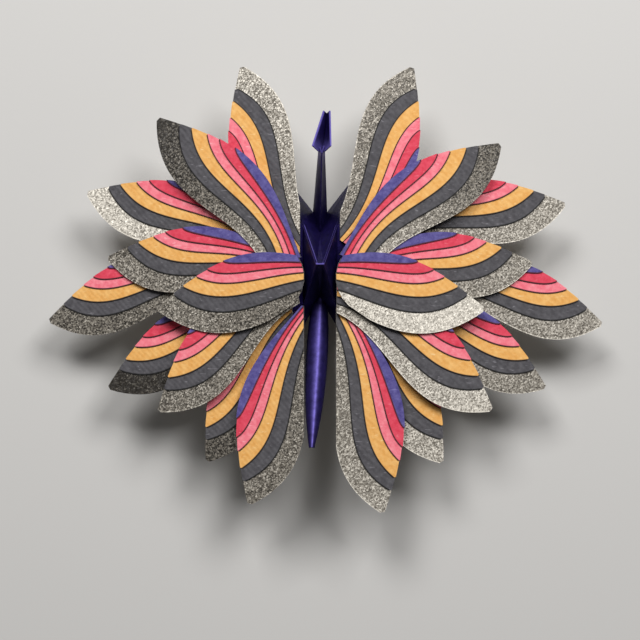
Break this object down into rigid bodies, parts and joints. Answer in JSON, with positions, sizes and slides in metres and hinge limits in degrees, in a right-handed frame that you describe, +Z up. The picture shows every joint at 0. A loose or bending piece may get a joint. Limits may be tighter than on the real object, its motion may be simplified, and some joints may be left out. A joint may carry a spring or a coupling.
{
  "type": "origami crane",
  "caption": "Folded paper crane with a humped body, raised neck and tail, and spread wings covered with flame-shaped feathers of stacked glitter card and coloured paper.",
  "frame": {"origin": "on the flat under the belly, below the peak of the hump", "axes": "+Y points to the head, +X to the bird's right wing as seen from above, +Z up"},
  "size_m": [0.1019, 0.0811, 0.0231],
  "materials": {
    "glitter_card": "glitter-coated card",
    "charcoal_paper": "matt uncoated paper",
    "yellow_paper": "matt uncoated paper",
    "pink_paper": "matt uncoated paper",
    "red_paper": "matt uncoated paper",
    "indigo_paper": "matt uncoated paper",
    "crane_paper": "satin folded paper"
  },
  "bodies": {
    "root": {"crane": "crane_paper", "feather_01_charcoal": "charcoal_paper", "feather_01_glitter": "glitter_card", "feather_01_indigo": "indigo_paper", "feather_01_pink": "pink_paper", "feather_01_red": "red_paper", "feather_01_yellow": "yellow_paper", "feather_02_charcoal": "charcoal_paper", "feather_02_glitter": "glitter_card", "feather_02_indigo": "indigo_paper", "feather_02_pink": "pink_paper", "feather_02_red": "red_paper", "feather_02_yellow": "yellow_paper", "feather_03_charcoal": "charcoal_paper", "feather_03_glitter": "glitter_card", "feather_03_indigo": "indigo_paper", "feather_03_pink": "pink_paper", "feather_03_red": "red_paper", "feather_03_yellow": "yellow_paper", "feather_04_charcoal": "charcoal_paper", "feather_04_glitter": "glitter_card", "feather_04_indigo": "indigo_paper", "feather_04_pink": "pink_paper", "feather_04_red": "red_paper", "feather_04_yellow": "yellow_paper", "feather_05_charcoal": "charcoal_paper", "feather_05_glitter": "glitter_card", "feather_05_indigo": "indigo_paper", "feather_05_pink": "pink_paper", "feather_05_red": "red_paper", "feather_05_yellow": "yellow_paper", "feather_06_charcoal": "charcoal_paper", "feather_06_glitter": "glitter_card", "feather_06_indigo": "indigo_paper", "feather_06_pink": "pink_paper", "feather_06_red": "red_paper", "feather_06_yellow": "yellow_paper", "feather_07_charcoal": "charcoal_paper", "feather_07_glitter": "glitter_card", "feather_07_indigo": "indigo_paper", "feather_07_pink": "pink_paper", "feather_07_red": "red_paper", "feather_07_yellow": "yellow_paper", "feather_08_charcoal": "charcoal_paper", "feather_08_glitter": "glitter_card", "feather_08_indigo": "indigo_paper", "feather_08_pink": "pink_paper", "feather_08_red": "red_paper", "feather_08_yellow": "yellow_paper", "feather_09_charcoal": "charcoal_paper", "feather_09_glitter": "glitter_card", "feather_09_pink": "pink_paper", "feather_09_red": "red_paper", "feather_09_yellow": "yellow_paper", "feather_10_charcoal": "charcoal_paper", "feather_10_glitter": "glitter_card", "feather_10_indigo": "indigo_paper", "feather_10_pink": "pink_paper", "feather_10_red": "red_paper", "feather_10_yellow": "yellow_paper"}
  },
  "joints": []
}
